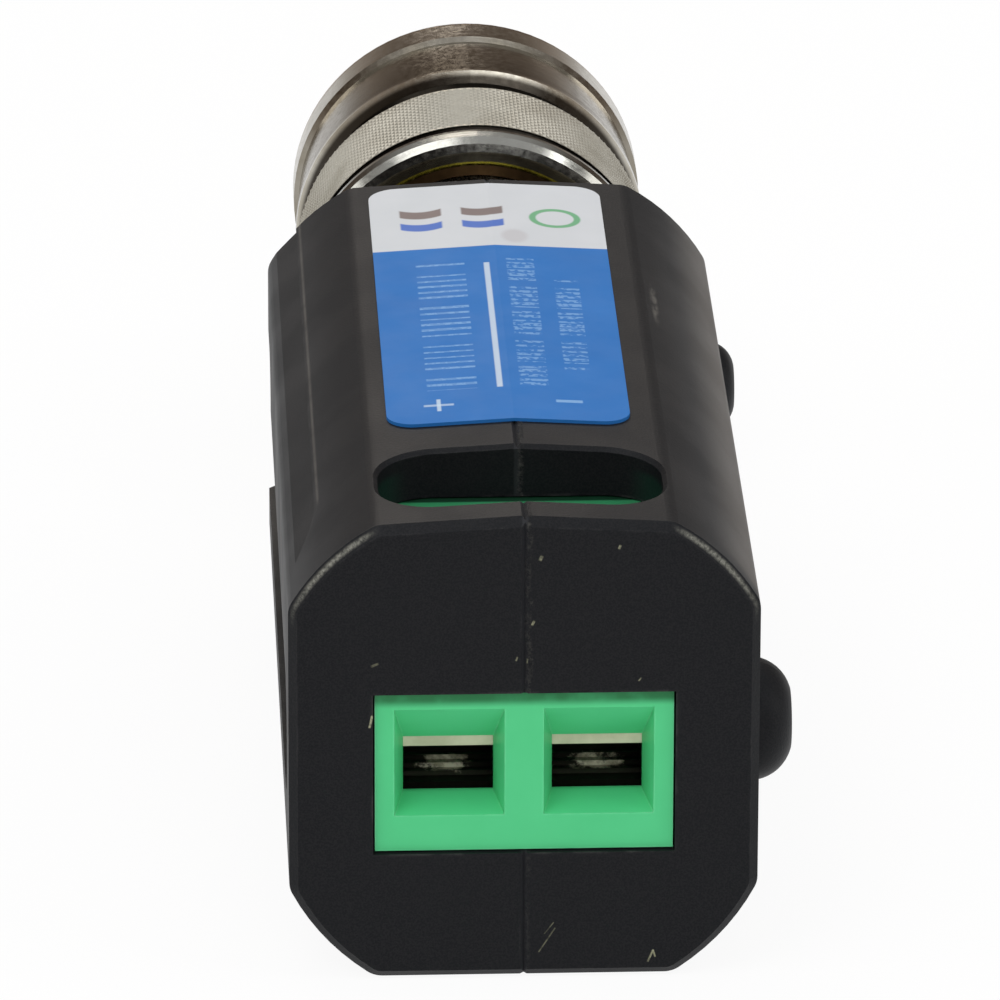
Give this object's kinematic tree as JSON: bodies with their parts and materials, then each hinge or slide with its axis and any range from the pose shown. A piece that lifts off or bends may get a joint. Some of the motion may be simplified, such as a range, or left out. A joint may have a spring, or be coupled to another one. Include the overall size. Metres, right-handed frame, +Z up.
{
  "type": "passive video balun",
  "caption": "Small black box with a green two-way screw terminal in front and a male bayonet coaxial plug behind, with side studs for joining units.",
  "frame": {"origin": "middle of the housing's flat underside", "axes": "+Z up, +Y along the body towards the coaxial plug, +X to the right seen from the terminal end"},
  "size_m": [0.0174, 0.0533, 0.0171],
  "materials": {
    "housing": "fine satin moulded ABS, lightly scuffed at its edges",
    "label": "satin printed film, white band and blue field",
    "terminal_green": "satin moulded nylon",
    "tinned_metal": "bright tin",
    "clamp_steel": "zinc-plated steel",
    "board": "solder mask over glass epoxy",
    "ferrite": "sintered ferrite",
    "winding_red": "enamelled copper, red",
    "winding_copper": "enamelled copper, clear",
    "chip_dark": "moulded black",
    "chip_tan": "ceramic tan",
    "nickel": "bright nickel plate",
    "white_plastic": "white low-loss plastic",
    "gold_pin": "gold flash",
    "seal_rubber": "silicone rubber",
    "spring_steel": "spring steel",
    "brass_ring": "plain brass"
  },
  "bodies": {
    "housing": {"housing_left": "housing", "housing_right": "housing", "label": "label", "terminal_body": "terminal_green", "contact_bar_left": "tinned_metal", "contact_bar_right": "tinned_metal", "circuit_board": "board", "ferrite_core": "ferrite", "primary_winding": "winding_red", "secondary_winding": "winding_copper", "chip_resistors": "chip_dark", "chip_capacitors": "chip_tan", "surge_guard": "chip_dark", "signal_lead": "tinned_metal", "ground_tab": "tinned_metal", "plug_body": "nickel", "outer_contact": "nickel", "insulator": "white_plastic", "centre_pin": "gold_pin", "gasket": "seal_rubber", "wave_washer": "spring_steel"},
    "screw_left": {"terminal_screw_left": "clamp_steel"},
    "screw_right": {"terminal_screw_right": "clamp_steel"},
    "clamp_left": {"clamp_cage_left": "clamp_steel"},
    "clamp_right": {"clamp_cage_right": "clamp_steel"},
    "nut_slide": {"thrust_washer": "spring_steel"},
    "nut": {"coupling_nut": "nickel", "retaining_ring": "brass_ring"}
  },
  "joints": [
    {"name": "screw_left_turn", "type": "hinge", "parent": "housing", "child": "screw_left", "pos_m": [-0.00254, -0.01234, 0.0118], "axis": [0, 0, 1], "range_deg": [-1120, 0]},
    {"name": "clamp_left_rise", "type": "slide", "parent": "housing", "child": "clamp_left", "axis": [0, 0, 1], "range_m": [0, 0.0014]},
    {"name": "screw_right_turn", "type": "hinge", "parent": "housing", "child": "screw_right", "pos_m": [0.00254, -0.01234, 0.0118], "axis": [0, 0, 1], "range_deg": [-1120, 0]},
    {"name": "clamp_right_rise", "type": "slide", "parent": "housing", "child": "clamp_right", "axis": [0, 0, 1], "range_m": [0, 0.0014]},
    {"name": "nut_float", "type": "slide", "parent": "housing", "child": "nut_slide", "axis": [0, 1, 0], "range_m": [0, 0.0005], "stiffness_N_per_m": 2000, "deforming": ["wave_washer"]},
    {"name": "nut_spin", "type": "hinge", "parent": "nut_slide", "child": "nut", "pos_m": [0, 0.0311, 0.00885], "axis": [0, 1, 0], "continuous": true}
  ],
  "couplings": [
    {"joint": "screw_left_turn", "follows": "clamp_left_rise", "rad_per_m": -13962},
    {"joint": "screw_right_turn", "follows": "clamp_right_rise", "rad_per_m": -13962}
  ]
}
